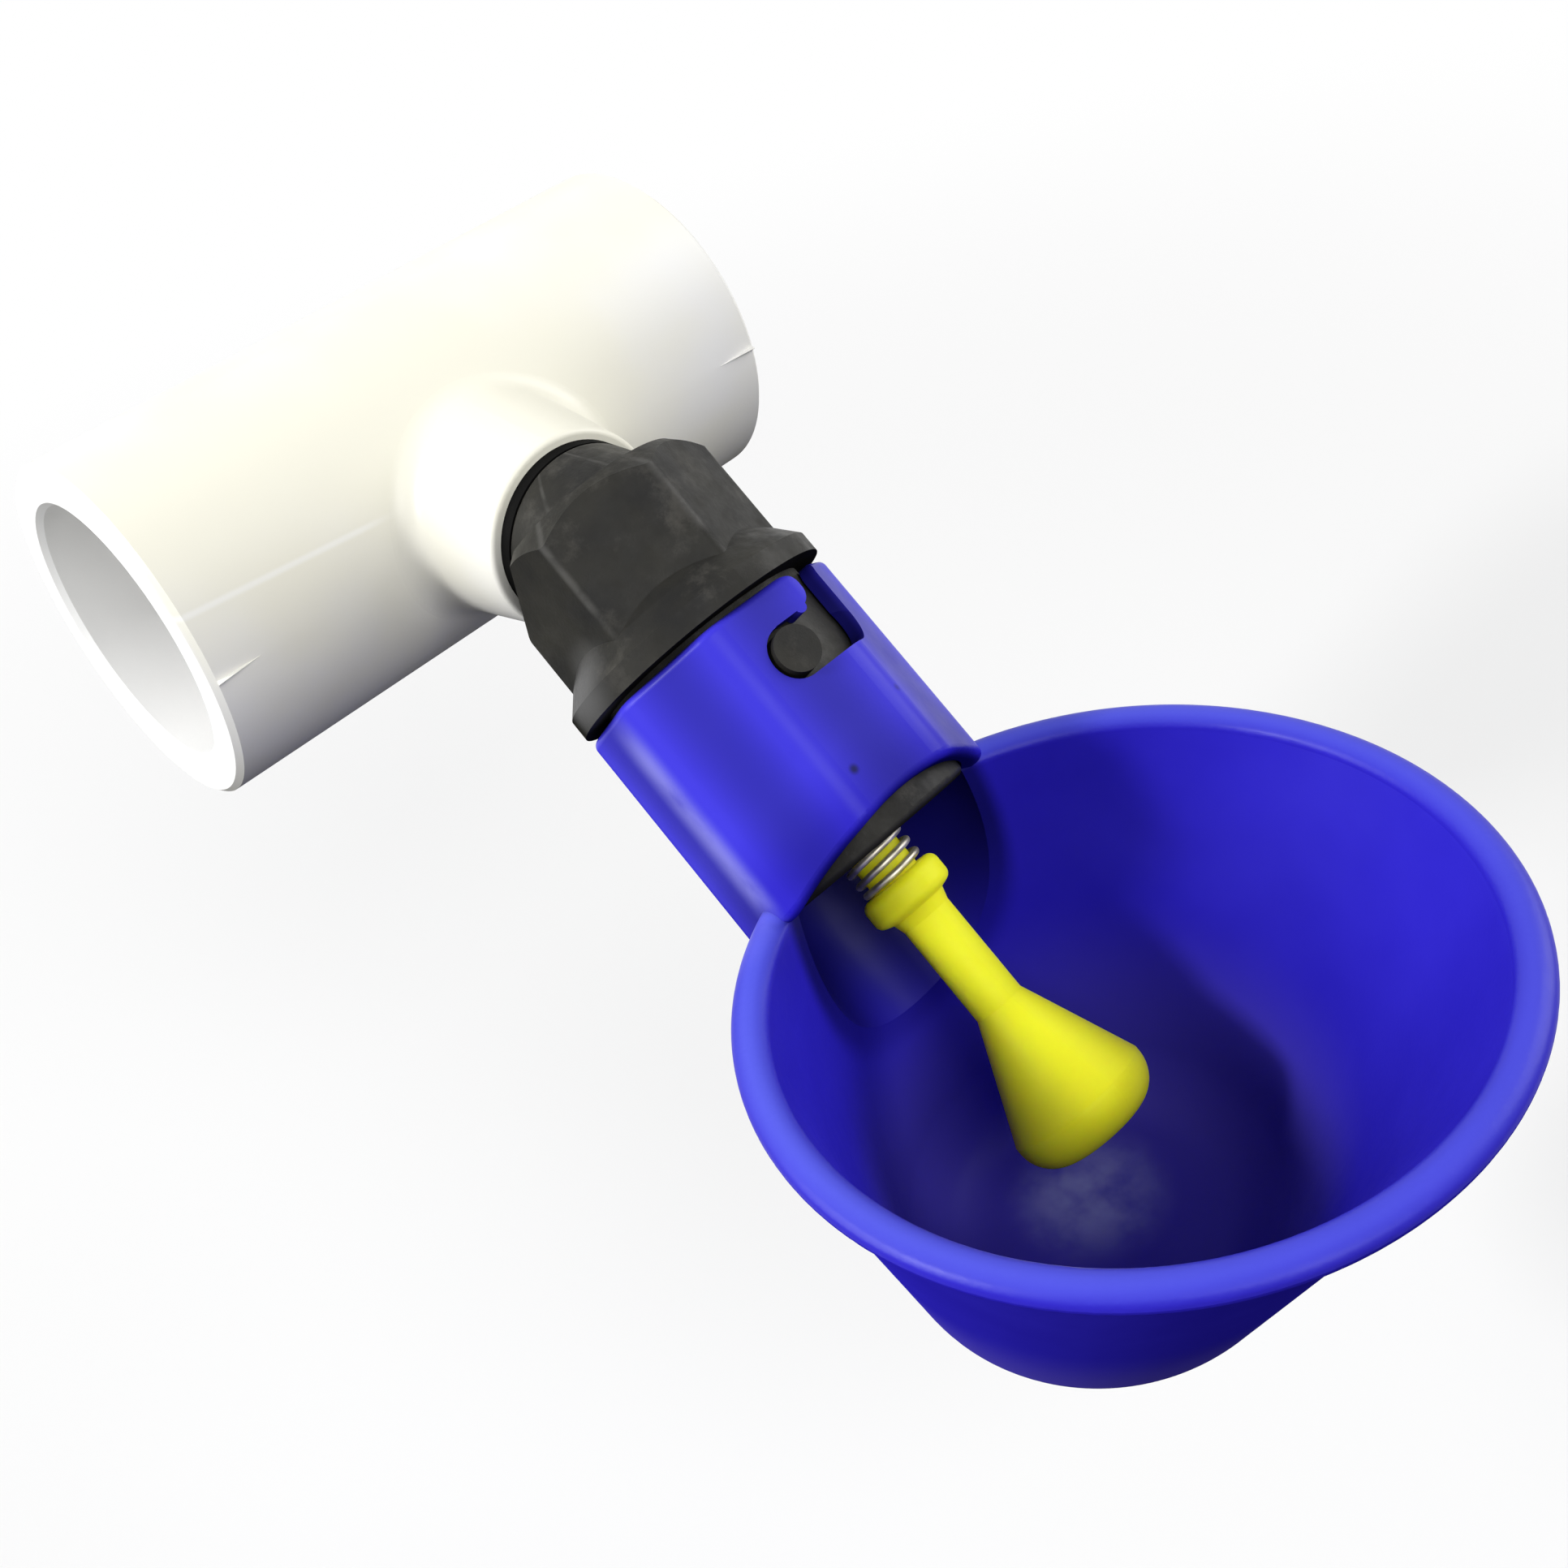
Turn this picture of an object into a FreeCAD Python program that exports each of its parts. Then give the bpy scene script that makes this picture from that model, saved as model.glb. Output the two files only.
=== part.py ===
import FreeCAD, Part
import math
import os

V = FreeCAD.Vector

# A poultry drinking cup hung on a plastic water pipe. All lengths are in millimetres.
# Modelling axes: X points out of the tee's branch towards the cup, Y runs along the pipe,
# Z is up. The bend of the elbow lies on the branch's axis, and the valve's axis leaves it
# downwards. Distances along the valve's axis are measured from the bend.

# Pipe tee, white plastic, with a plain socket at each end of its run
pipe_diameter = 25.0
socket_clearance = 0.1
socket_depth = 20.0
tee_length = 62.0
tee_diameter = 33.3
tee_bore_diameter = 22.0
mouth_chamfer = 0.5
boss_reach = 26.5
boss_root_diameter = 20.0
boss_end_diameter = 17.6
boss_fillet = 2.6
boss_edge_round = 0.5
branch_waterway = 9.0
mark_length = 4.6
mark_width = 1.3
mark_height = 0.55
mark_angle = 0.5

# Quarter-inch pipe thread between the tee's branch and the valve body
thread_diameter = 13.16
thread_clearance = 0.08
thread_length = 8.0

# Flat rubber washer between the branch's end and the body's shoulder
washer_thickness = 1.2
washer_diameter = 15.8

# Valve body, a black elbow moulding
bend_distance = 32.6
elbow_angle = 45.0
collar_diameter = 15.8
collar_length = 3.0
collar_edge_round = 0.4
hex_across_flats = 19.0
hex_corner_round = 1.1
hex_turn = -6.0
hex_start = -4.3
hex_nose_diameter = 17.6
hex_nose_length = 2.3
flange_diameter = 24.6
flange_top = 5.6
flange_slope_length = 3.4
flange_rim_length = 1.8
barrel_diameter = 19.8
barrel_length = 21.6
barrel_edge_round = 0.6
waterway_diameter = 6.4
chamber_diameter = 10.4
chamber_start = 17.0
lug_diameter = 4.0
lug_place = 16.9
lug_reach = 12.0

# Black seat plug pressed into the barrel's mouth
plug_diameter = 14.4
plug_length = 4.2
plug_setback = 0.3
orifice_diameter = 5.0
seat_lip_diameter = 6.6
seat_lip_width = 0.5
seat_lip_height = 0.8
spring_pocket_diameter = 7.6
spring_pocket_depth = 0.8

# Yellow trigger, with its rubber seal and push-on cap inside the chamber
shank_diameter = 3.0
shank_groove_diameter = 2.4
seal_diameter = 8.2
seal_thickness = 1.6
seal_clearance = 0.05
cap_diameter = 6.4
cap_thickness = 1.8
spring_post_diameter = 4.4
spring_post_gap = 0.4
collar_place = 35.5
trigger_collar_diameter = 7.5
trigger_collar_length = 2.4
trigger_collar_round = 0.8
stem_diameter = 4.5
neck_place = 48.3
paddle_diameter = 12.5
paddle_end = 61.1
paddle_round = 3.0

# Stainless return spring, in compression between the plug and the trigger's collar
spring_wire = 0.62
spring_turns = 3.0
spring_diameter = 5.4
lengths_a_turn = 14

# Cup, one blue moulding: a sleeve with eight flats that runs into a bowl
sleeve_across_flats = 22.95
sleeve_corner_round = 3.0
sleeve_gap = 0.6
scoop_place = 30.1
scoop_radius = 24.0
sleeve_edge_round = 0.7
sleeve_bore_clearance = 0.2
twist_angle = 32.0
slot_clearance = 0.35
tongue_length = 3.1
tongue_round = 1.4
click_diameter = 1.0
click_angle = -14.0
rim_diameter = 57.9
rim_bead_width = 2.9
rim_bead_height = 2.1
rim_place_x = 81.5
rim_place_z = -21.3
bowl_depth = 36.2
base_diameter = 31.0
base_shift = -9.0
base_round = 8.0
wall_thickness = 1.9
bead_overhang = 1.0

# Worked out from the sizes above
tee_radius = tee_diameter / 2
socket_radius = pipe_diameter / 2 + socket_clearance
shoulder_x = boss_reach + washer_thickness
thread_hole_radius = thread_diameter / 2 + thread_clearance
thread_tip_x = shoulder_x - washer_thickness - thread_length
hex_corner_distance = hex_across_flats / 2 / math.cos(math.radians(30))
flange_rim_top = flange_top + flange_slope_length
flange_end = flange_rim_top + flange_rim_length
barrel_radius = barrel_diameter / 2
barrel_end = flange_end + barrel_length
plug_front = barrel_end - plug_setback
plug_back = plug_front - plug_length
lip_tip = plug_back - seat_lip_height
seal_front = lip_tip - seal_clearance
seal_back = seal_front - seal_thickness
pocket_floor = plug_front - spring_pocket_depth
sleeve_start = flange_end + sleeve_gap
sleeve_end = scoop_place + (scoop_radius - math.sqrt(scoop_radius ** 2 - (sleeve_across_flats / 2) ** 2))
sleeve_bore_radius = barrel_radius + sleeve_bore_clearance
bowl_place = (rim_place_x - bend_distance) / math.cos(math.radians(elbow_angle))
root_end = sleeve_end + 0.6 * (bowl_place - sleeve_end)
bore_end = sleeve_end + 0.45 * (bowl_place - sleeve_end)
slot_half_width = lug_diameter / 2 + slot_clearance
rim_radius = rim_diameter / 2
bead_circle_radius = rim_radius - rim_bead_width / 2

# The row's origin is the middle of the pipe socket at the +Y end
row_origin = V(0, tee_length / 2 - socket_depth / 2, 0)

slope = math.radians(elbow_angle)
bend = V(bend_distance, 0, 0)
valve_axis = V(math.cos(slope), 0, -math.sin(slope))
valve_up = V(math.sin(slope), 0, math.cos(slope))
valve_frame = FreeCAD.Placement(bend, FreeCAD.Rotation(valve_up, V(0, -1, 0), valve_axis, "ZXY"))


def on_valve_axis(shape):
    """Moves a shape built about Z, with X upwards, on to the valve's axis."""
    placed = shape.copy()
    placed.Placement = valve_frame.multiply(placed.Placement)
    return placed


def turned(profile):
    """A solid turned about Z from a list of (radius, height) points."""
    points = [V(r, 0, h) for r, h in profile]
    face = Part.Face(Part.makePolygon(points + [points[0]]))
    return face.revolve(V(0, 0, 0), V(0, 0, 1), 360)


def rod(radius, start, end, axis=V(0, 0, 1)):
    """A cylinder between two distances along an axis through the origin."""
    return Part.makeCylinder(radius, end - start, axis * start, axis)


def rounded_prism(sides, across_flats, corner_round, start, end, first_corner):
    """A regular prism about Z with its upright corners rounded."""
    reach = across_flats / 2 / math.cos(math.pi / sides)
    angles = [math.radians(first_corner + 360 / sides * i) for i in range(sides)]
    corners = [V(reach * math.cos(a), reach * math.sin(a), start) for a in angles]
    prism = Part.Face(Part.makePolygon(corners + [corners[0]])).extrude(V(0, 0, end - start))
    upright = [e for e in prism.Edges if abs(e.tangentAt(e.FirstParameter).z) > 0.99]
    return prism.makeFillet(corner_round, upright)


def ring_sector(inner, outer, start, end, first_angle, last_angle):
    """A block bounded by two radii, two heights and two angles about Z."""
    points = [V(inner, 0, start), V(outer, 0, start), V(outer, 0, end), V(inner, 0, end)]
    face = Part.Face(Part.makePolygon(points + [points[0]]))
    face.rotate(V(0, 0, 0), V(0, 0, 1), first_angle)
    return face.revolve(V(0, 0, 0), V(0, 0, 1), last_angle - first_angle)


def radial_peg(radius, inner, outer, place, angle):
    """A round peg that points outwards from Z at a height and an angle."""
    out = V(math.cos(math.radians(angle)), math.sin(math.radians(angle)), 0)
    return Part.makeCylinder(radius, outer - inner, out * inner + V(0, 0, place), out)


def edges_where(shape, test):
    return [e for e in shape.Edges if test(e)]


def flat_at(edge, height):
    """True for an edge that lies in the plane at a height along Z."""
    box = edge.BoundBox
    return abs(box.ZMin - height) < 1e-4 and abs(box.ZMax - height) < 1e-4


def pipe_tee():
    """Run with two sockets, and a tapered boss that holds the thread."""
    half = tee_length / 2
    run = rod(tee_radius, -half, half, V(0, 1, 0))
    ends = edges_where(run, lambda e: abs(abs(e.BoundBox.Center.y) - half) < 1e-4 and e.BoundBox.XLength > 1)
    run = run.makeChamfer(mouth_chamfer, ends)
    taper = (boss_root_diameter - boss_end_diameter) / 2 / (boss_reach - tee_radius)
    start = tee_radius / 2
    start_radius = boss_root_diameter / 2 + taper * (tee_radius - start)
    boss = Part.makeCone(start_radius, boss_end_diameter / 2, boss_reach - start, V(start, 0, 0), V(1, 0, 0))
    rim = edges_where(boss, lambda e: e.BoundBox.XMin > boss_reach - 1e-3)
    boss = boss.makeFillet(boss_edge_round, rim)
    tee = run.fuse(boss).removeSplitter()
    joint = edges_where(tee, lambda e: start < e.BoundBox.XMin and e.BoundBox.XMax < tee_radius + 0.1
                        and e.BoundBox.YLength > boss_end_diameter / 2 and abs(e.BoundBox.YMin) < boss_root_diameter)
    tee = tee.makeFillet(boss_fillet, joint)
    for side in (-1, 1):
        tee = tee.fuse(end_mark(side))
    return tee.cut(tee_hollow()).removeSplitter()


def end_mark(side):
    """Short wedge on the parting line beside a pipe mouth, tallest at the mouth."""
    mouth = side * (tee_length / 2 - mouth_chamfer)
    tip = mouth - side * mark_length
    half = mark_width / 2
    sunk = tee_radius - 1
    crest = tee_radius + mark_height
    peak = V(crest, mouth, half / 2)
    tail = V(tee_radius - 0.05, tip, half / 2)
    near = [V(sunk, mouth, -half), V(sunk, mouth, half), peak]
    far = [V(sunk, tip, -half), V(sunk, tip, half), tail]
    faces = [near, far, [near[0], near[1], far[1], far[0]]]
    faces += [[near[0], far[0], tail], [near[0], tail, peak], [near[1], far[1], tail], [near[1], tail, peak]]
    shell = Part.makeShell([Part.Face(Part.makePolygon(p + [p[0]])) for p in faces])
    block = Part.makeSolid(shell)
    if block.Volume < 0:
        block.reverse()
    block.rotate(V(0, 0, 0), V(0, 1, 0), -mark_angle)
    return block


def tee_hollow():
    """Pipe sockets, the narrower bore between them and the threaded branch."""
    half = tee_length / 2
    hollow = rod(tee_bore_diameter / 2, -half, half, V(0, 1, 0))
    for side in (-1, 1):
        axis = V(0, side, 0)
        hollow = hollow.fuse(rod(socket_radius, half - socket_depth, half, axis))
        hollow = hollow.fuse(Part.makeCone(socket_radius, socket_radius + mouth_chamfer, mouth_chamfer,
                                           axis * (half - mouth_chamfer), axis))
    out = V(1, 0, 0)
    hollow = hollow.fuse(rod(branch_waterway / 2, 0, boss_reach, out))
    hollow = hollow.fuse(rod(thread_hole_radius, thread_tip_x - 1, boss_reach, out))
    return hollow.fuse(Part.makeCone(thread_hole_radius, thread_hole_radius + mouth_chamfer, mouth_chamfer,
                                     V(boss_reach - mouth_chamfer, 0, 0), out))


def branch_washer():
    ring = rod(washer_diameter / 2, boss_reach, shoulder_x, V(1, 0, 0))
    return ring.cut(rod(thread_hole_radius, boss_reach, shoulder_x, V(1, 0, 0)))


def hexagonal_block():
    """Spanner hexagon with a turned nose towards the tee."""
    hexagon = rounded_prism(6, hex_across_flats, hex_corner_round, hex_start, flange_end, hex_turn)
    wide = hex_corner_distance + 0.5
    rise = (wide - hex_nose_diameter / 2) * hex_nose_length / (hex_corner_distance - hex_nose_diameter / 2)
    nose = turned([(0, hex_start), (hex_nose_diameter / 2, hex_start), (wide, hex_start + rise),
                   (wide, flange_end), (0, flange_end)])
    return hexagon.common(nose)


def valve_body():
    """Threaded spigot, elbow, hexagon, flange and the barrel that carries the cup."""
    top_radius = hex_corner_distance - 0.25
    flange = turned([(0, flange_top), (hex_across_flats / 2 - 0.4, flange_top),
                     (top_radius, flange_top + 0.45 * flange_slope_length), (flange_diameter / 2, flange_rim_top),
                     (flange_diameter / 2, flange_end), (0, flange_end)])
    barrel = rod(barrel_radius, flange_end, barrel_end)
    barrel = barrel.makeFillet(barrel_edge_round, edges_where(barrel, lambda e: flat_at(e, barrel_end)))
    solid = hexagonal_block().fuse(flange).fuse(barrel)
    for angle in (0, 180):
        solid = solid.fuse(radial_peg(lug_diameter / 2, barrel_radius - 1, lug_reach, lug_place, angle))
    solid = on_valve_axis(solid)
    solid = solid.cut(Part.makeBox(60, 60, 60, V(shoulder_x + collar_length - 60, -30, -30)))
    out = V(1, 0, 0)
    collar = rod(collar_diameter / 2, shoulder_x, bend_distance + 4.5, out)
    ring = edges_where(collar, lambda e: e.BoundBox.XMax < shoulder_x + 1e-3)
    solid = solid.fuse(collar.makeFillet(collar_edge_round, ring))
    spigot = rod(thread_diameter / 2, thread_tip_x, shoulder_x, out)
    tip = edges_where(spigot, lambda e: e.BoundBox.XMax < thread_tip_x + 1e-3)
    solid = solid.fuse(spigot.makeChamfer(mouth_chamfer, tip))
    return solid.cut(body_waterway()).removeSplitter()


def body_waterway():
    """Bore from the tee round the elbow, the valve chamber and the plug's seat."""
    bore = waterway_diameter / 2
    branch = rod(bore, thread_tip_x, bend_distance, V(1, 0, 0))
    down = rod(bore, 0, chamber_start).fuse(rod(chamber_diameter / 2, chamber_start, plug_back))
    down = down.fuse(rod(plug_diameter / 2, plug_back, barrel_end))
    return branch.fuse(Part.makeSphere(bore, bend)).fuse(on_valve_axis(down))


def seat_plug():
    """Plug with the water orifice, the seat's lip inside and the spring's pocket outside."""
    lip = seat_lip_diameter / 2
    plug = turned([(orifice_diameter / 2, pocket_floor), (orifice_diameter / 2, plug_back),
                   (lip - seat_lip_width, plug_back), (lip - seat_lip_width, lip_tip), (lip, lip_tip),
                   (lip, plug_back), (plug_diameter / 2, plug_back), (plug_diameter / 2, plug_front),
                   (spring_pocket_diameter / 2, plug_front), (spring_pocket_diameter / 2, pocket_floor)])
    return on_valve_axis(plug)


def trigger():
    """Shank through the orifice, post inside the spring, collar, stem and flared paddle."""
    shank = shank_diameter / 2
    groove = shank_groove_diameter / 2
    post = spring_post_diameter / 2
    collar = trigger_collar_diameter / 2
    stem = stem_diameter / 2
    tip = seal_back - cap_thickness
    post_start = pocket_floor + spring_post_gap
    collar_end = collar_place + trigger_collar_length
    solid = turned([(0, tip), (groove, tip), (groove, seal_front), (shank, seal_front),
                    (shank, post_start), (post - 0.3, post_start), (post, post_start + 0.3),
                    (post, collar_place), (collar, collar_place), (collar, collar_end),
                    (stem + 0.3, collar_end + 0.4), (stem, collar_end + 1.4),
                    (stem, neck_place), (paddle_diameter / 2, paddle_end - paddle_round - 0.4),
                    (paddle_diameter / 2, paddle_end), (0, paddle_end)])
    rims = edges_where(solid, lambda e: e.BoundBox.XLength > 1.9 * collar
                       and (flat_at(e, collar_place) or flat_at(e, collar_end)))
    solid = solid.makeFillet(trigger_collar_round, rims)
    solid = solid.makeFillet(paddle_round, edges_where(solid, lambda e: flat_at(e, paddle_end)))
    return on_valve_axis(solid)


def valve_seal():
    ring = rod(seal_diameter / 2, seal_back, seal_front)
    return on_valve_axis(ring.cut(rod(shank_groove_diameter / 2, seal_back, seal_front)))


def seal_cap():
    """Push-on cap that holds the seal on the shank's groove."""
    start = seal_back - cap_thickness
    cap = rod(cap_diameter / 2, start, seal_back)
    cap = cap.makeChamfer(0.4, edges_where(cap, lambda e: flat_at(e, start)))
    return on_valve_axis(cap.cut(rod(shank_groove_diameter / 2, start, seal_back)))


def return_spring():
    """Open coil from the plug's pocket to the trigger's collar, in short straight lengths."""
    radius = spring_diameter / 2
    low = pocket_floor + spring_wire / 2
    rise = collar_place - spring_wire / 2 - low
    lengths = round(lengths_a_turn * spring_turns)
    lean = math.atan2(rise, 2 * math.pi * radius * spring_turns)
    section = Part.Wire(Part.makeCircle(spring_wire / 2, V(radius, 0, low), V(0, math.cos(lean), math.sin(lean))))
    sections = []
    for i in range(lengths + 1):
        placed = section.copy()
        placed.rotate(V(0, 0, 0), V(0, 0, 1), 360 * spring_turns * i / lengths)
        placed.translate(V(0, 0, rise * i / lengths))
        sections.append(placed)
    return on_valve_axis(Part.makeLoft(sections, True, True))


def oblique_bowl(inset, top, floor, corner_round):
    """Bowl form between the rim and the base, its base set back towards the tee."""
    def circle(depth):
        share = depth / bowl_depth
        top_radius = rim_radius - bead_overhang - inset
        radius = top_radius + (base_diameter / 2 - rim_radius + bead_overhang) * share
        centre = V(rim_place_x + base_shift * share, 0, rim_place_z - depth)
        return Part.Wire(Part.makeCircle(radius, centre, V(0, 0, 1)))
    solid = Part.makeLoft([circle(top), circle(floor)], True, True)
    low = rim_place_z - floor
    return solid.makeFillet(corner_round, edges_where(solid, lambda e: flat_at(e, low)))


def sleeve_form():
    """Outside of the sleeve, whole, with its lower end scooped out round the trigger."""
    sleeve = rounded_prism(8, sleeve_across_flats, sleeve_corner_round, sleeve_start, sleeve_end + 1, 22.5)
    scoop = Part.makeCylinder(scoop_radius, 2 * sleeve_across_flats,
                              V(-sleeve_across_flats, 0, scoop_place + scoop_radius), V(1, 0, 0))
    sleeve = sleeve.cut(scoop)
    rims = edges_where(sleeve, lambda e: flat_at(e, sleeve_start) or e.BoundBox.ZMin > scoop_place - 1e-3)
    return sleeve.makeFillet(sleeve_edge_round, rims)


def sleeve_root():
    """Lower side of the sleeve, carried on below the rim until it is inside the bowl."""
    root = rounded_prism(8, sleeve_across_flats, sleeve_corner_round, scoop_place - 2, root_end, 22.5)
    root = on_valve_axis(root)
    low = rim_place_z - bowl_depth
    return root.common(Part.makeBox(60, 60, bowl_depth, V(rim_place_x - 60, -30, low)))


def rim_bead():
    """Oval bead round the bowl's rim."""
    section = Part.Ellipse(V(0, 0, 0), rim_bead_width / 2, rim_bead_height / 2).toShape()
    section.rotate(V(0, 0, 0), V(1, 0, 0), 90)
    section.translate(V(bead_circle_radius, 0, 0))
    ring = Part.Face(Part.Wire(section)).revolve(V(0, 0, 0), V(0, 0, 1), 360)
    ring.translate(V(rim_place_x, 0, rim_place_z))
    return ring


def bayonet_slot(side):
    """Hooked slot for one lug: way in past the tongue, a turn, and the lug's pocket."""
    inner = barrel_radius - 1
    outer = sleeve_across_flats
    edge = math.degrees(math.asin(slot_half_width / (sleeve_across_flats / 2)))
    tongue_end = sleeve_start + tongue_length
    turn = ring_sector(inner, outer, tongue_end, lug_place + slot_half_width, -twist_angle, 0)
    way_in = ring_sector(inner, outer, sleeve_start - 1, lug_place, -twist_angle - edge, -twist_angle + edge)
    mouth = ring_sector(inner, outer, sleeve_start - 1, sleeve_start,
                        -twist_angle - 2 * edge, -twist_angle + 2 * edge)
    slot = turn.fuse([way_in, mouth]).removeSplitter()
    corners = [(sleeve_start, -twist_angle - edge), (sleeve_start, -twist_angle + edge),
               (tongue_end, -twist_angle + edge)]
    slot = slot.makeFillet(tongue_round, edges_where(slot, lambda e: stands_at(e, corners)))
    slot = slot.fuse(radial_peg(slot_half_width, inner, outer, lug_place, 0))
    slot = slot.fuse(radial_peg(slot_half_width, inner, outer, lug_place, -twist_angle))
    click = click_diameter / 2
    slot = slot.cut(radial_peg(click, inner - 1, outer + 1, tongue_end + 0.4 - click, click_angle))
    slot.rotate(V(0, 0, 0), V(0, 0, 1), side)
    return slot


def stands_at(edge, corners):
    """True for a radial edge at one of the corners, each a height and an angle about Z."""
    middle = edge.BoundBox.Center
    if edge.BoundBox.ZLength > 1e-4 or edge.Length < 5:
        return False
    angle = math.degrees(math.atan2(middle.y, middle.x))
    return any(abs(middle.z - height) < 1e-3 and abs(angle - at) < 0.01 for height, at in corners)


def cup():
    outside = on_valve_axis(sleeve_form()).fuse(sleeve_root())
    outside = outside.fuse(oblique_bowl(0, 0, bowl_depth, base_round))
    outside = outside.fuse(rim_bead())
    inside = oblique_bowl(wall_thickness, 0, bowl_depth - wall_thickness, base_round - wall_thickness)
    bore = rod(sleeve_bore_radius, sleeve_start - 1, bore_end)
    for side in (0, 180):
        bore = bore.fuse(bayonet_slot(side))
    return outside.cut(inside).cut(on_valve_axis(bore)).removeSplitter()


def main():
    os.makedirs("parts", exist_ok=True)
    pieces = {
        "pvc_tee": pipe_tee,
        "branch_washer": branch_washer,
        "valve_body": valve_body,
        "seat_plug": seat_plug,
        "trigger": trigger,
        "valve_seal": valve_seal,
        "seal_cap": seal_cap,
        "return_spring": return_spring,
        "cup": cup,
    }
    for name, make in pieces.items():
        shape = make()
        shape.translate(-row_origin)
        shape.exportStep(f"parts/{name}.step")
        print(name, shape.ShapeType, len(shape.Solids), shape.isValid(), round(shape.Volume, 1))


main()
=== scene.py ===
import math

import bpy
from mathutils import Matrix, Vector


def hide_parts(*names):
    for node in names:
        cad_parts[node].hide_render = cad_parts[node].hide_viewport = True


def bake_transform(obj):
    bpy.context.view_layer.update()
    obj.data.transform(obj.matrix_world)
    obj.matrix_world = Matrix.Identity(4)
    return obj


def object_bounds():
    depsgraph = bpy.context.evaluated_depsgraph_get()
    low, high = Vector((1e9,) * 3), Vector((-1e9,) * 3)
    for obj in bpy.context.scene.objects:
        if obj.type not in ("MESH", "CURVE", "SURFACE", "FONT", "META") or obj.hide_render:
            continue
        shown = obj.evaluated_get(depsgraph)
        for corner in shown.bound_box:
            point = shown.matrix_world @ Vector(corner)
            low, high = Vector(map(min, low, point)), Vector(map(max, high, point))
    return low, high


print("loading the packed cup")
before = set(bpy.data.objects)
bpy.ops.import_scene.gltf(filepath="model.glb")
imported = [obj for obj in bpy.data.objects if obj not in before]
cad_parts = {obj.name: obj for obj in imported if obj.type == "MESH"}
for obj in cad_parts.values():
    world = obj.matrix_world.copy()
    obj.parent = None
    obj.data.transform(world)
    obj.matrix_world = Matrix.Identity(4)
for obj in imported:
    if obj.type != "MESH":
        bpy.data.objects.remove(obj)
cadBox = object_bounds()

# The valve's axis leaves the bend of the elbow at 45 degrees below the branch
bendPoint = Vector((0.0326, -0.021, 0.0))
valveAxis = Vector((1.0, 0.0, -1.0)).normalized()
valveUp = Vector((1.0, 0.0, 1.0)).normalized()
valveSide = Vector((0.0, -1.0, 0.0))
millimetre = 0.001


def onValve(along, up=0.0, side=0.0):
    # millimetres along, above and beside the valve's axis
    return bendPoint + (valveAxis * along + valveUp * up + valveSide * side) * millimetre


def newMaterial(name):
    material = bpy.data.materials.new(name)
    material.use_nodes = True
    return material, material.node_tree


def shaderOf(tree):
    return tree.nodes["Principled BSDF"]


def grey(level):
    return (level, level, level)


def dress(nodeName, material):
    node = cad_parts[nodeName]
    node.data.materials.clear()
    node.data.materials.append(material)


def objectCoords(tree, stretch=(1.0, 1.0, 1.0)):
    place = tree.nodes.new("ShaderNodeTexCoord")
    mapping = tree.nodes.new("ShaderNodeMapping")
    mapping.inputs["Scale"].default_value = stretch
    tree.links.new(place.outputs["Object"], mapping.inputs["Vector"])
    return mapping.outputs["Vector"]


def noiseNode(tree, coords, scale, detail, roughness=0.5):
    noise = tree.nodes.new("ShaderNodeTexNoise")
    noise.inputs["Scale"].default_value = scale
    noise.inputs["Detail"].default_value = detail
    noise.inputs["Roughness"].default_value = roughness
    tree.links.new(coords, noise.inputs["Vector"])
    return noise.outputs["Fac"]


def rampNode(tree, source, places, colours):
    # one colour at each of the two places
    ramp = tree.nodes.new("ShaderNodeValToRGB")
    tree.links.new(source, ramp.inputs["Fac"])
    for element, place, colour in zip(ramp.color_ramp.elements, places, colours):
        element.position = place
        element.color = (*colour, 1.0)
    return ramp.outputs["Color"]


def bumpNode(tree, height, distance, strength, under=None):
    bump = tree.nodes.new("ShaderNodeBump")
    bump.inputs["Distance"].default_value = distance
    bump.inputs["Strength"].default_value = strength
    tree.links.new(height, bump.inputs["Height"])
    if under is not None:
        tree.links.new(under, bump.inputs["Normal"])
    return bump.outputs["Normal"]


def mapRange(tree, source, low, high):
    # 0 at low, 1 at high, smooth between them
    part = tree.nodes.new("ShaderNodeMapRange")
    part.interpolation_type = "SMOOTHSTEP"
    tree.links.new(source, part.inputs["Value"])
    part.inputs["From Min"].default_value = low
    part.inputs["From Max"].default_value = high
    return part.outputs["Result"]


def mathNode(tree, kind, *values):
    part = tree.nodes.new("ShaderNodeMath")
    part.operation = kind
    for socket, value in zip(part.inputs, values):
        if isinstance(value, float):
            socket.default_value = value
        else:
            tree.links.new(value, socket)
    return part.outputs["Value"]


def product(tree, first, *others):
    for other in others:
        first = mathNode(tree, "MULTIPLY", first, other)
    return first


def vectorNode(tree, kind, first, second=None):
    part = tree.nodes.new("ShaderNodeVectorMath")
    part.operation = kind
    tree.links.new(first, part.inputs[0])
    if second is not None:
        part.inputs[1].default_value = second
    return part.outputs["Value" if kind in ("LENGTH", "DISTANCE", "DOT_PRODUCT") else "Vector"]


def splitVector(tree, vector):
    parts = tree.nodes.new("ShaderNodeSeparateXYZ")
    tree.links.new(vector, parts.inputs["Vector"])
    return parts.outputs


def facingUp(tree):
    # -1 on an underside, 1 on a top
    place = tree.nodes.new("ShaderNodeTexCoord")
    return splitVector(tree, place.outputs["Normal"])["Z"]


def nearPoint(tree, point, reach, fade):
    # 1 within reach of a point, 0 beyond reach and fade, in metres
    away = vectorNode(tree, "DISTANCE", objectCoords(tree), point)
    return mapRange(tree, away, reach + fade, reach)


def patches(tree, look):
    # loose patches, 0 between them and 1 in their middles
    noise = noiseNode(tree, objectCoords(tree), look["scale"], look["detail"], look["roughness"])
    return mapRange(tree, noise, *look["limits"])


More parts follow.
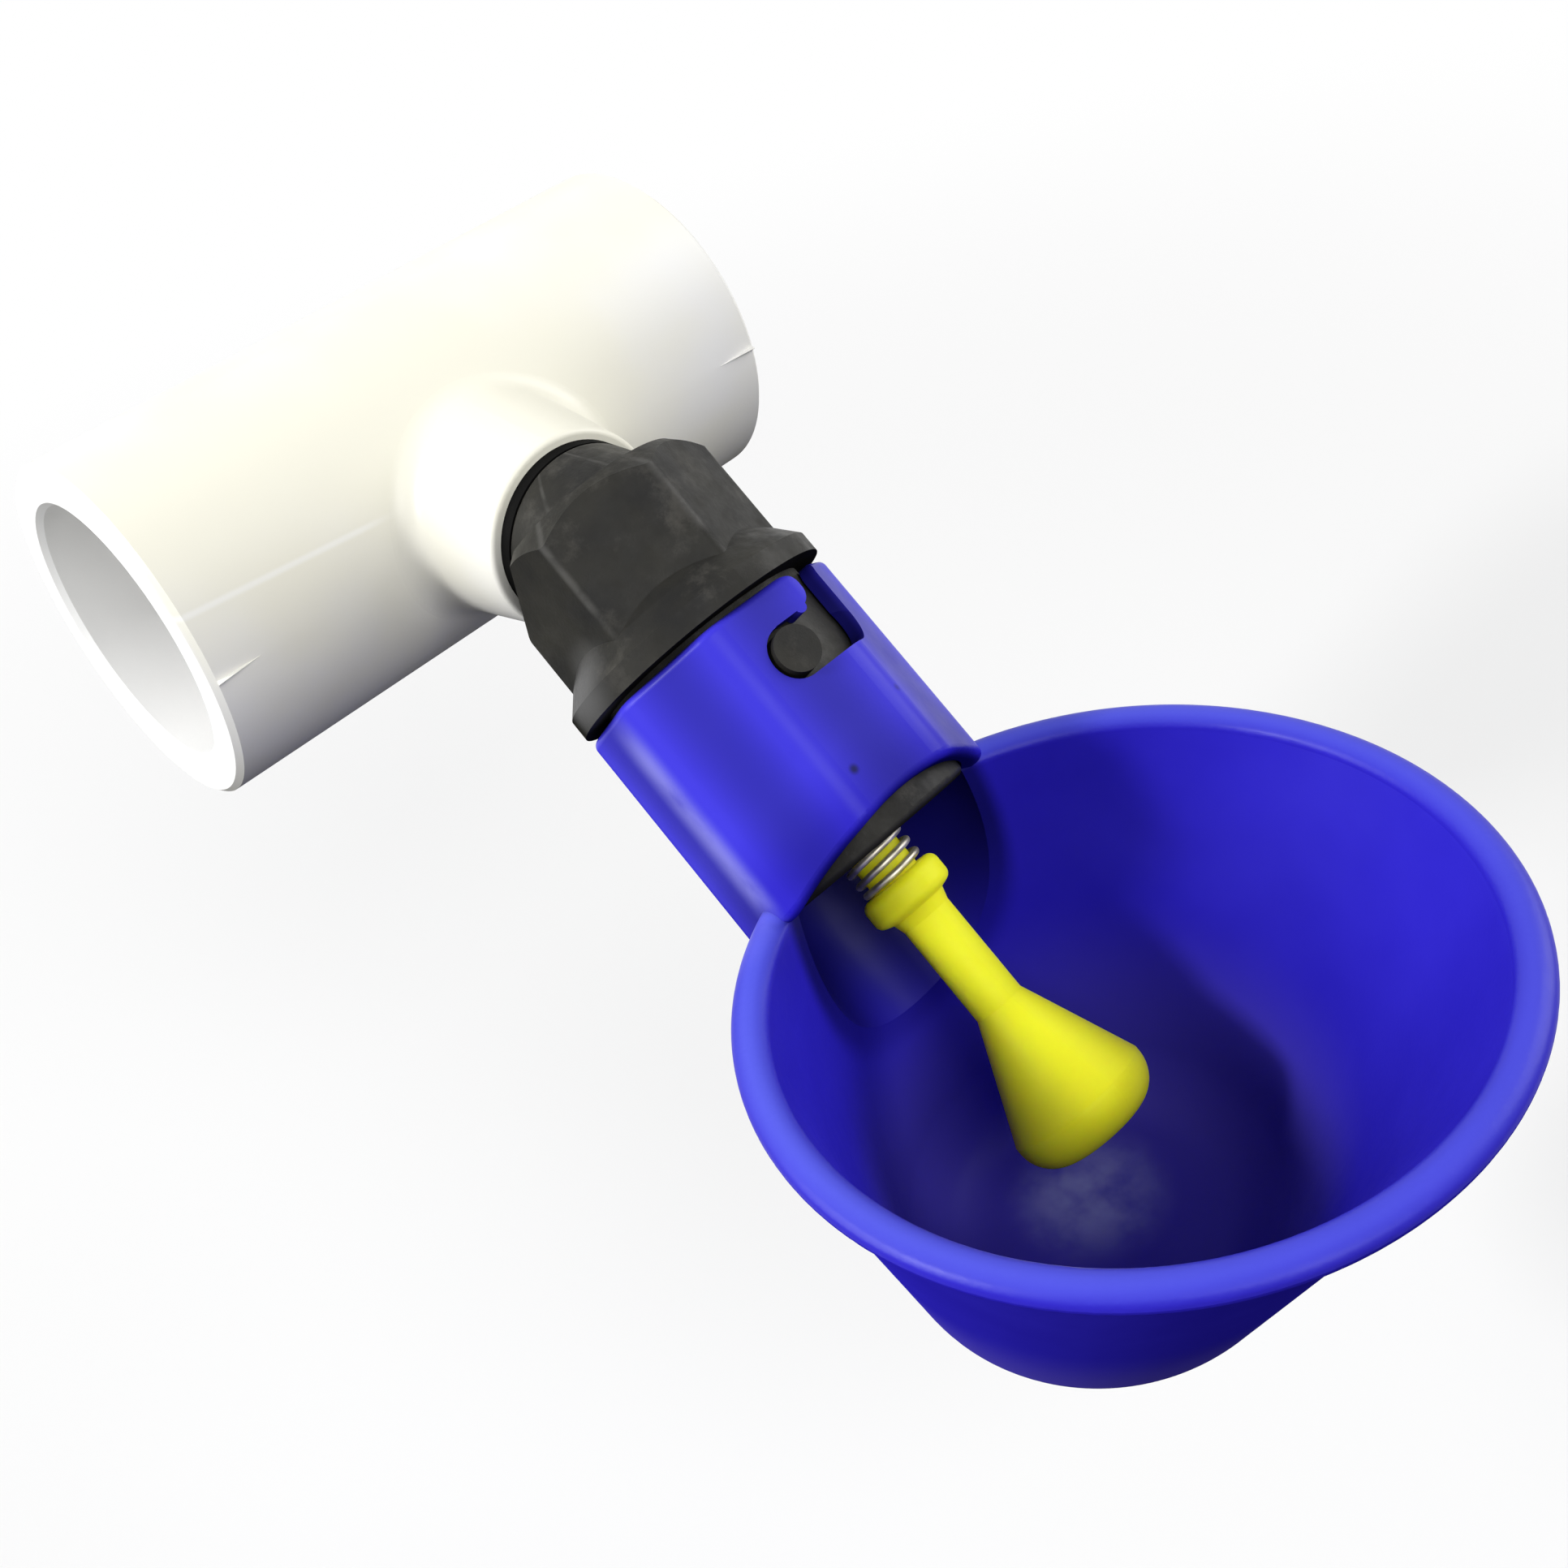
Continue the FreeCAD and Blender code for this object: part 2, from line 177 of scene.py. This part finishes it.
def fromBend(tree):
    return vectorNode(tree, "SUBTRACT", objectCoords(tree), tuple(bendPoint))


def alongValve(tree):
    # metres along the valve's axis from the bend
    return vectorNode(tree, "DOT_PRODUCT", fromBend(tree), tuple(valveAxis))


def turnOnValve(tree):
    # the turn round the valve's axis from its upper side towards -Y, in radians
    out = fromBend(tree)
    up = vectorNode(tree, "DOT_PRODUCT", out, tuple(valveUp))
    side = vectorNode(tree, "DOT_PRODUCT", out, tuple(valveSide))
    return mathNode(tree, "ARCTAN2", side, up)


def mixColour(tree, share, first, second):
    mix = tree.nodes.new("ShaderNodeMix")
    mix.data_type = "RGBA"
    tree.links.new(share, mix.inputs["Factor"])
    tree.links.new(first, mix.inputs["A"])
    mix.inputs["B"].default_value = (*second, 1.0)
    return mix.outputs["Result"]


def mixShader(tree, share, first, second):
    mix = tree.nodes.new("ShaderNodeMixShader")
    for socket, source in zip(mix.inputs, (share, first, second)):
        tree.links.new(source, socket)
    return mix.outputs["Shader"]


# What the moulded plastics have in common
mouldedSkin = {
    "cloudDetail": 3.0, "cloudRoughness": 0.55, "cloudStops": (0.3, 0.7),
    "scuffDetail": 5.0, "scuffRoughness": 0.65, "scuffStops": (0.35, 0.7),
    "waveDetail": 2.0, "waveStrength": 0.5,
    "grainDetail": 3.0, "grainRoughness": 0.6, "grainStrength": 0.6,
    "shineTurn": (-0.15, 0.35),  # no shine on the undersides
}


def mouldedPlastic(name, look, marks=()):
    # each mark is a function that gives its share, and the colour laid over the plastic's own
    skin = mouldedSkin
    material, tree = newMaterial(name)
    shader = shaderOf(tree)
    coords = objectCoords(tree)
    clouds = noiseNode(tree, coords, look["cloudScale"], skin["cloudDetail"], skin["cloudRoughness"])
    colour = rampNode(tree, clouds, skin["cloudStops"], (look["deep"], look["pale"]))
    for shareOf, markColour in marks:
        colour = mixColour(tree, shareOf(tree), colour, markColour)
    tree.links.new(colour, shader.inputs["Base Color"])
    scuffs = noiseNode(tree, objectCoords(tree, look["scuffStretch"]), look["scuffScale"],
                       skin["scuffDetail"], skin["scuffRoughness"])
    rough = rampNode(tree, scuffs, skin["scuffStops"], [grey(level) for level in look["gloss"]])
    tree.links.new(rough, shader.inputs["Roughness"])
    waves = noiseNode(tree, coords, look["waveScale"], skin["waveDetail"])
    waves = bumpNode(tree, waves, look["waveDepth"], skin["waveStrength"])
    grain = noiseNode(tree, coords, look["grainScale"], skin["grainDetail"], skin["grainRoughness"])
    grain = bumpNode(tree, grain, look["grainDepth"], skin["grainStrength"], waves)
    tree.links.new(grain, shader.inputs["Normal"])
    top = mapRange(tree, facingUp(tree), *skin["shineTurn"])
    tree.links.new(product(tree, top, look["shine"]), shader.inputs["Specular IOR Level"])
    return material


print("finishing the tee")
teeLook = {
    "deep": (0.88, 0.878, 0.868), "pale": (0.90, 0.898, 0.89), "cloudScale": 45.0,
    "gloss": (0.30, 0.38), "scuffScale": 240.0, "scuffStretch": (1.0, 0.25, 1.0), "shine": 0.3,
    "waveScale": 70.0, "waveDepth": 0.00012, "grainScale": 2600.0, "grainDepth": 0.00001,
    "cream": (0.88, 0.86, 0.74), "creamRadius": 0.0158, "creamEdge": 0.0006,
    "creamPatches": {"scale": 30.0, "detail": 3.0, "roughness": 0.5, "limits": (0.3, 0.6)},
    # the mould line's pale colour is a painted highlight
    "linePale": (1.0, 1.0, 0.97), "lineShare": 0.5, "lineHeight": 0.002485, "lineSlope": 0.0755,
    "lineLimits": (0.00042, 0.00005), "lineEnd": -0.031, "lineFade": 0.004, "lineFrom": (0.0135, 0.0145),
}


def agedOutside(tree):
    # the outside has turned cream in patches, the bore hasn't
    across = vectorNode(tree, "MULTIPLY", objectCoords(tree), (1.0, 0.0, 1.0))
    radius = vectorNode(tree, "LENGTH", across)
    outside = mapRange(tree, radius, teeLook["creamRadius"], teeLook["creamRadius"] + teeLook["creamEdge"])
    return product(tree, outside, patches(tree, teeLook["creamPatches"]))


def mouldLineHighlight(tree):
    # painted highlight along the faint mould line, from the mouth's mark to the branch
    place = splitVector(tree, objectCoords(tree))
    height = mathNode(tree, "ADD", place["Z"], product(tree, place["Y"], teeLook["lineSlope"]))
    away = mathNode(tree, "ABSOLUTE", mathNode(tree, "SUBTRACT", height, teeLook["lineHeight"]))
    line = mapRange(tree, away, *teeLook["lineLimits"])
    ends = mapRange(tree, place["Y"], teeLook["lineEnd"], teeLook["lineEnd"] - teeLook["lineFade"])
    outside = mapRange(tree, place["X"], *teeLook["lineFrom"])
    return product(tree, line, ends, outside, teeLook["lineShare"])


dress("pvc_tee", mouldedPlastic("whitePvc", teeLook, [
    (agedOutside, teeLook["cream"]), (mouldLineHighlight, teeLook["linePale"]),
]))

print("finishing the valve body")
bodyLook = {
    "deep": (0.010, 0.010, 0.010), "pale": (0.022, 0.021, 0.017), "cloudScale": 160.0,
    "gloss": (0.38, 0.62), "scuffScale": 500.0, "scuffStretch": (1.0, 1.0, 1.0), "shine": 0.14,
    "waveScale": 120.0, "waveDepth": 0.0001, "grainScale": 3200.0, "grainDepth": 0.00003,
    # the paler patches on faces that look up are dust with a painted highlight
    "dustSheen": (0.09, 0.085, 0.075), "dustSheenShare": 0.4, "dustSheenTurn": (-0.1, 0.7),
    "dustSheenPatches": {"scale": 210.0, "detail": 6.0, "roughness": 0.7, "limits": (0.5, 0.72)},
    # the pale hexagon corners are rubbed, with a painted highlight
    "ridgePale": (0.10, 0.098, 0.092), "ridgeShare": 0.4, "ridgeTurn": 54.0,
    "ridgeLimits": (0.16, 0.02), "ridgeEnd": (0.0052, 0.004),
    "ridgePatches": {"scale": 260.0, "detail": 5.0, "roughness": 0.5, "limits": (0.38, 0.6)},
    # a painted highlight on the flange's edge
    "flangeHighlight": (0.10, 0.10, 0.10), "flangePlace": (0.0394, -0.0324, -0.0051),
    "flangeReach": 0.0005, "flangeFade": 0.0045,
}


def ridgeWearAndHighlight(tree):
    # the hexagon's rubbed corners, with a painted highlight along them: the sine of three times the turn is
    # 0 at all six
    fromCorner = mathNode(tree, "SUBTRACT", turnOnValve(tree), math.radians(bodyLook["ridgeTurn"]))
    away = mathNode(tree, "ABSOLUTE", mathNode(tree, "SINE", product(tree, fromCorner, 3.0)))
    ridge = mapRange(tree, away, *bodyLook["ridgeLimits"])
    hexagon = mapRange(tree, alongValve(tree), *bodyLook["ridgeEnd"])
    return product(tree, ridge, hexagon, patches(tree, bodyLook["ridgePatches"]), bodyLook["ridgeShare"])


def flangeHighlight(tree):
    # painted highlight: a grey patch on the flange's edge
    return nearPoint(tree, bodyLook["flangePlace"], bodyLook["flangeReach"], bodyLook["flangeFade"])


def bodyDustAndSheen(tree):
    # dry dust and a painted highlight, in loose patches on the faces that look up
    top = mapRange(tree, facingUp(tree), *bodyLook["dustSheenTurn"])
    return product(tree, patches(tree, bodyLook["dustSheenPatches"]), top, bodyLook["dustSheenShare"])


dress("valve_body", mouldedPlastic("blackPlastic", bodyLook, [
    (bodyDustAndSheen, bodyLook["dustSheen"]), (ridgeWearAndHighlight, bodyLook["ridgePale"]), (flangeHighlight, bodyLook["flangeHighlight"]),
]))

rubberLook = dict(bodyLook, deep=(0.003, 0.003, 0.003), pale=(0.006, 0.006, 0.006),
                  gloss=(0.6, 0.8), shine=0.03)
blackRubber = mouldedPlastic("blackRubber", rubberLook)
for rubberPiece in ("seat_plug", "branch_washer", "valve_seal"):
    dress(rubberPiece, blackRubber)

print("finishing the cup")
cupLook = {
    "deep": (0.021, 0.014, 0.44), "pale": (0.026, 0.018, 0.485), "cloudScale": 90.0,
    "gloss": (0.32, 0.40), "scuffScale": 260.0, "scuffStretch": (1.0, 1.0, 1.0), "shine": 0.12,
    "waveScale": 80.0, "waveDepth": 0.0001, "grainScale": 2600.0, "grainDepth": 0.000012,
    # the sleeve's paler colour is painted light
    "sleevePale": (0.050, 0.042, 0.66), "sleeveShare": 0.8, "sleeveEnd": (0.031, 0.024),
    # a painted highlight along the sleeve's left corner
    "ridgePale": (0.32, 0.32, 0.95), "ridgeShare": 0.75, "ridgeTurn": 80.0, "ridgeReach": 13.0,
    "ridgeStart": (0.0105, 0.0165), "ridgeEnd": (0.034, 0.028),
    "ridgePatches": {"scale": 210.0, "detail": 4.0, "roughness": 0.5, "limits": (0.05, 0.55)},
    # a painted highlight on the crown of the rim's bead
    "rimPale": (0.17, 0.21, 0.95), "rimShare": 0.9, "rimMiddle": (0.0815, -0.021, -0.0213),
    "rimRadius": 0.0275, "rimLimits": (0.0019, 0.0001), "rimTurn": (0.3, 1.0),
    "rimBright": (0.055, -0.030, -0.020), "rimReach": 0.02, "rimFade": 0.075,
    # painted shade in the hollow under the valve
    "pocketColour": (0.004, 0.004, 0.07), "pocketShare": 0.85, "pocketRadius": 0.0107,
    "pocketEdge": 0.0016, "pocketEnd": (0.052, 0.036),
    "speckColour": (0.01, 0.01, 0.10), "speckReach": 0.0001, "speckFade": 0.0005,
    "speckPlaces": ((0.0571, -0.0160, -0.0094), (0.0597, -0.0237, -0.0108)),
    # a painted reflection on the bowl's floor
    "reflectionColour": (0.40, 0.42, 0.62), "reflectionPlace": (0.071, -0.0195, -0.0556),
    "reflectionReach": 0.001, "reflectionFade": 0.007,
    "reflectionPatches": {"scale": 300.0, "detail": 3.0, "roughness": 0.5, "limits": (0.1, 0.75)},
    # painted light, paling the shaded floor of the bowl
    "liftColour": (0.08, 0.062, 0.42), "liftPlace": (0.074, -0.021, -0.056),
    "liftReach": 0.012, "liftFade": 0.016,
}


def rimCrownHighlight(tree):
    # painted highlight on the crown of the rim's bead, brightest near one side
    fromMiddle = vectorNode(tree, "SUBTRACT", objectCoords(tree), cupLook["rimMiddle"])
    radius = vectorNode(tree, "LENGTH", vectorNode(tree, "MULTIPLY", fromMiddle, (1.0, 1.0, 0.0)))
    beside = tree.nodes.new("ShaderNodeCombineXYZ")
    tree.links.new(mathNode(tree, "SUBTRACT", radius, cupLook["rimRadius"]), beside.inputs["X"])
    tree.links.new(splitVector(tree, fromMiddle)["Z"], beside.inputs["Y"])
    fromBead = vectorNode(tree, "LENGTH", beside.outputs["Vector"])
    nearBead = mapRange(tree, fromBead, *cupLook["rimLimits"])
    top = mapRange(tree, facingUp(tree), *cupLook["rimTurn"])
    bright = nearPoint(tree, cupLook["rimBright"], cupLook["rimReach"], cupLook["rimFade"])
    return product(tree, nearBead, top, bright, cupLook["rimShare"])


def sleevePaintedLight(tree):
    # painted light: the sleeve is coloured paler than the bowl
    return product(tree, mapRange(tree, alongValve(tree), *cupLook["sleeveEnd"]), cupLook["sleeveShare"])


def sleeveCornerHighlight(tree):
    # painted highlight along the sleeve's left corner
    fromCorner = mathNode(tree, "SUBTRACT", turnOnValve(tree), math.radians(cupLook["ridgeTurn"]))
    away = mathNode(tree, "ABSOLUTE", fromCorner)
    ridge = mapRange(tree, away, math.radians(cupLook["ridgeReach"]), 0.0)
    along = alongValve(tree)
    start = mapRange(tree, along, *cupLook["ridgeStart"])
    end = mapRange(tree, along, *cupLook["ridgeEnd"])
    return product(tree, ridge, start, end, patches(tree, cupLook["ridgePatches"]), cupLook["ridgeShare"])


def pocketPaintedShade(tree):
    # painted shade in the hollow under the valve, where the sleeve's bore runs into the bowl
    whole = vectorNode(tree, "LENGTH", fromBend(tree))
    along = alongValve(tree)
    across = mathNode(tree, "SUBTRACT", product(tree, whole, whole), product(tree, along, along))
    radius = mathNode(tree, "SQRT", across)
    inside = mapRange(tree, radius, cupLook["pocketRadius"] + cupLook["pocketEdge"], cupLook["pocketRadius"])
    upper = mapRange(tree, along, *cupLook["pocketEnd"])
    return product(tree, inside, upper, cupLook["pocketShare"])


def speck(place):
    return lambda tree: nearPoint(tree, place, cupLook["speckReach"], cupLook["speckFade"])


def floorPaintedReflection(tree):
    # painted reflection: a pale patch on the bowl's floor
    near = nearPoint(tree, cupLook["reflectionPlace"], cupLook["reflectionReach"], cupLook["reflectionFade"])
    return product(tree, near, patches(tree, cupLook["reflectionPatches"]))


def floorPaintedLight(tree):
    # painted light: a paler colour lifting the shaded floor of the bowl
    return nearPoint(tree, cupLook["liftPlace"], cupLook["liftReach"], cupLook["liftFade"])


dress("cup", mouldedPlastic("bluePlastic", cupLook, [
    (sleevePaintedLight, cupLook["sleevePale"]), (rimCrownHighlight, cupLook["rimPale"]), (sleeveCornerHighlight, cupLook["ridgePale"]),
    (floorPaintedLight, cupLook["liftColour"]), (floorPaintedReflection, cupLook["reflectionColour"]),
    (pocketPaintedShade, cupLook["pocketColour"]),
    *((speck(place), cupLook["speckColour"]) for place in cupLook["speckPlaces"]),
]))

print("finishing the trigger")
triggerLook = {
    "deep": (0.95, 0.86, 0.018), "pale": (0.98, 0.92, 0.025), "cloudScale": 90.0,
    "gloss": (0.40, 0.50), "scuffScale": 400.0, "scuffStretch": (1.0, 1.0, 1.0), "shine": 0.08,
    "waveScale": 140.0, "waveDepth": 0.00008, "grainScale": 2600.0, "grainDepth": 0.00001,
    "glow": 1.0, "glowRadius": (3.0, 2.6, 0.4),
}


def glowThrough(material, look):
    # light goes a few millimetres into the yellow plastic
    shader = shaderOf(material.node_tree)
    shader.inputs["Subsurface Weight"].default_value = look["glow"]
    shader.inputs["Subsurface Radius"].default_value = look["glowRadius"]
    shader.inputs["Subsurface Scale"].default_value = millimetre


yellowPlastic = mouldedPlastic("yellowPlastic", triggerLook)
glowThrough(yellowPlastic, triggerLook)
dress("trigger", yellowPlastic)
dress("seal_cap", yellowPlastic)

print("winding the spring")
springLook = {  # lengths in millimetres, places along the valve's axis from the bend
    "wire": 0.62, "middle": 5.4, "start": 31.64, "end": 35.5,
    "turns": 3.6, "closed": 0.55, "closedPitch": 0.55, "lengthsATurn": 40,  # closedPitch in wires
    "deep": (0.45, 0.42, 0.32), "pale": (0.66, 0.63, 0.53), "gloss": (0.40, 0.55),
    "tintScale": 900.0, "tintDetail": 3.0, "tintStops": (0.3, 0.7), "wireSides": 5,
}


def drawnSteel(look):
    material, tree = newMaterial("springSteel")
    shader = shaderOf(tree)
    tint = noiseNode(tree, objectCoords(tree), look["tintScale"], look["tintDetail"])
    colour = rampNode(tree, tint, look["tintStops"], (look["deep"], look["pale"]))
    rough = rampNode(tree, tint, look["tintStops"], [grey(level) for level in look["gloss"]])
    tree.links.new(colour, shader.inputs["Base Color"])
    tree.links.new(rough, shader.inputs["Roughness"])
    shader.inputs["Metallic"].default_value = 1.0
    return material


def springPoints(look):
    # closed turns at both ends and open turns between them
    low = look["start"] + look["wire"] / 2
    high = look["end"] - look["wire"] / 2
    closedRise = look["wire"] * look["closedPitch"]
    radius = look["middle"] / 2
    points = []
    for i in range(int(look["turns"] * look["lengthsATurn"]) + 1):
        turn = i / look["lengthsATurn"]
        left = look["turns"] - turn
        if turn < look["closed"]:
            rise = closedRise * turn
        elif left < look["closed"]:
            rise = (high - low) - closedRise * left
        else:
            openShare = (turn - look["closed"]) / (look["turns"] - 2 * look["closed"])
            rise = closedRise * look["closed"] + openShare * ((high - low) - 2 * closedRise * look["closed"])
        angle = 2 * math.pi * turn
        points.append(onValve(low + rise, radius * math.cos(angle), radius * math.sin(angle)))
    return points


def makeSpring(look):
    curve = bpy.data.curves.new("coilSpring", "CURVE")
    curve.dimensions = "3D"
    curve.bevel_depth = look["wire"] / 2 * millimetre
    curve.bevel_resolution = look["wireSides"]
    curve.use_fill_caps = True
    line = curve.splines.new("POLY")
    points = springPoints(look)
    line.points.add(len(points) - 1)
    for target, point in zip(line.points, points):
        target.co = (*point, 1.0)
    shape = bpy.data.objects.new("coilSpringCurve", curve)
    bpy.context.scene.collection.objects.link(shape)
    mesh = bpy.data.meshes.new_from_object(shape.evaluated_get(bpy.context.evaluated_depsgraph_get()))
    bpy.data.objects.remove(shape)
    piece = bpy.data.objects.new("coilSpring", mesh)
    bpy.context.scene.collection.objects.link(piece)
    mesh.polygons.foreach_set("use_smooth", [True] * len(mesh.polygons))
    mesh.materials.clear()
    mesh.materials.append(drawnSteel(look))
    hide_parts("return_spring")
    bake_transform(piece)


makeSpring(springLook)

print("setting the stage")
studio = {  # lamps: degrees round the object from +X and above the floor, watts, metres across
    "floorDrop": 0.045, "floorSize": 6.0, "white": 1.0, "floorShade": 0.03, "floorRough": 0.9,
    "shadowShare": 0.5, "paper": 0.75, "shadowReach": 0.16, "shadowFade": 0.25,
    "worldLevel": 0.10, "middle": (0.055, -0.021, -0.02), "lampsAway": 1.35,
    "keyFrom": (254.0, 34.0), "keyPower": 8.0, "keySize": 0.2,
    "wideFrom": (242.0, 25.0), "widePower": 16.2, "wideSize": 1.05,
    "backFrom": (70.0, 29.0), "backPower": 12.6, "backSize": 1.05,
    "frontFrom": (345.0, 38.0), "frontPower": 9.5, "frontSize": 0.9,
}


def seenDirectly(tree):
    # 1 for rays from the camera, in a reflection or through glass, 0 for the light that falls on things
    rays = tree.nodes.new("ShaderNodeLightPath")
    seen = mathNode(tree, "MAXIMUM", rays.outputs["Is Camera Ray"], rays.outputs["Is Glossy Ray"])
    return mathNode(tree, "MAXIMUM", seen, rays.outputs["Is Transmission Ray"])


def paleFloor(look):
    material, tree = newMaterial("palePaper")
    dark = shaderOf(tree)  # what the object's light meets, so that the floor throws little back
    dark.inputs["Base Color"].default_value = (*grey(look["floorShade"]), 1.0)
    dark.inputs["Roughness"].default_value = look["floorRough"]
    glow = tree.nodes.new("ShaderNodeEmission")
    glow.inputs["Strength"].default_value = look["white"]
    paper = tree.nodes.new("ShaderNodeBsdfDiffuse")
    paper.inputs["Color"].default_value = (*grey(look["paper"]), 1.0)
    low = cadBox[0][2] - look["floorDrop"]
    under = (look["middle"][0], look["middle"][1], low)
    near = nearPoint(tree, under, look["shadowReach"], look["shadowFade"])
    # what the camera sees: white, and the object's soft shadow
    seen = mixShader(tree, product(tree, near, look["shadowShare"]),
                     glow.outputs["Emission"], paper.outputs["BSDF"])
    tree.links.new(mixShader(tree, seenDirectly(tree), dark.outputs["BSDF"], seen),
                   tree.nodes["Material Output"].inputs["Surface"])
    half = look["floorSize"] / 2
    corners = [(-half, -half, low), (half, -half, low), (half, half, low), (-half, half, low)]
    mesh = bpy.data.meshes.new("floor")
    mesh.from_pydata(corners, [], [(0, 1, 2, 3)])
    mesh.materials.append(material)
    floor = bpy.data.objects.new("floor", mesh)
    bpy.context.scene.collection.objects.link(floor)


def whiteLight(light, strength):
    light.inputs["Color"].default_value = (1.0, 1.0, 1.0, 1.0)
    light.inputs["Strength"].default_value = strength
    return light.outputs["Background"]


def worldLight(look):
    world = bpy.data.worlds.new("studioWorld")
    world.use_nodes = True
    bpy.context.scene.world = world
    tree = world.node_tree
    dim = whiteLight(tree.nodes["Background"], look["worldLevel"])
    full = whiteLight(tree.nodes.new("ShaderNodeBackground"), look["white"])
    mixed = mixShader(tree, seenDirectly(tree), dim, full)
    tree.links.new(mixed, tree.nodes["World Output"].inputs["Surface"])


def softLamp(name, middle, comesFrom, away, size, power):
    turn, height = math.radians(comesFrom[0]), math.radians(comesFrom[1])
    out = Vector((math.cos(height) * math.cos(turn), math.cos(height) * math.sin(turn), math.sin(height)))
    lamp = bpy.data.lights.new(name, "AREA")
    lamp.shape = "DISK"
    lamp.size = size
    lamp.energy = power
    piece = bpy.data.objects.new(name, lamp)
    piece.location = Vector(middle) + out * away
    piece.rotation_euler = out.to_track_quat("Z", "Y").to_euler()
    bpy.context.scene.collection.objects.link(piece)


# Solved from the tee's two ends, its sockets, the valve's axis and the rim in the photograph
photoView = {
    "place": (0.153400, -0.093791, 0.078543), "turn": (59.1902, 12.6897, 45.5170),  # metres, degrees
    "sensor": 36.0, "lens": 44.161, "shift": (-0.00824, -0.16448), "clipStart": 0.005,
}


def photoCamera(look):
    camera = bpy.data.cameras.new("photoCamera")
    camera.sensor_width = look["sensor"]
    camera.lens = look["lens"]
    camera.shift_x, camera.shift_y = look["shift"]
    camera.clip_start = look["clipStart"]
    piece = bpy.data.objects.new("photoCamera", camera)
    piece.location = look["place"]
    piece.rotation_euler = tuple(math.radians(angle) for angle in look["turn"])
    bpy.context.scene.collection.objects.link(piece)
    bpy.context.scene.camera = piece


paleFloor(studio)
worldLight(studio)
for lampName in ("key", "wide", "back", "front"):
    softLamp(lampName + "Lamp", studio["middle"], studio[lampName + "From"], studio["lampsAway"],
             studio[lampName + "Size"], studio[lampName + "Power"])
photoCamera(photoView)

bpy.context.scene.view_settings.view_transform = "Standard"
print("done")
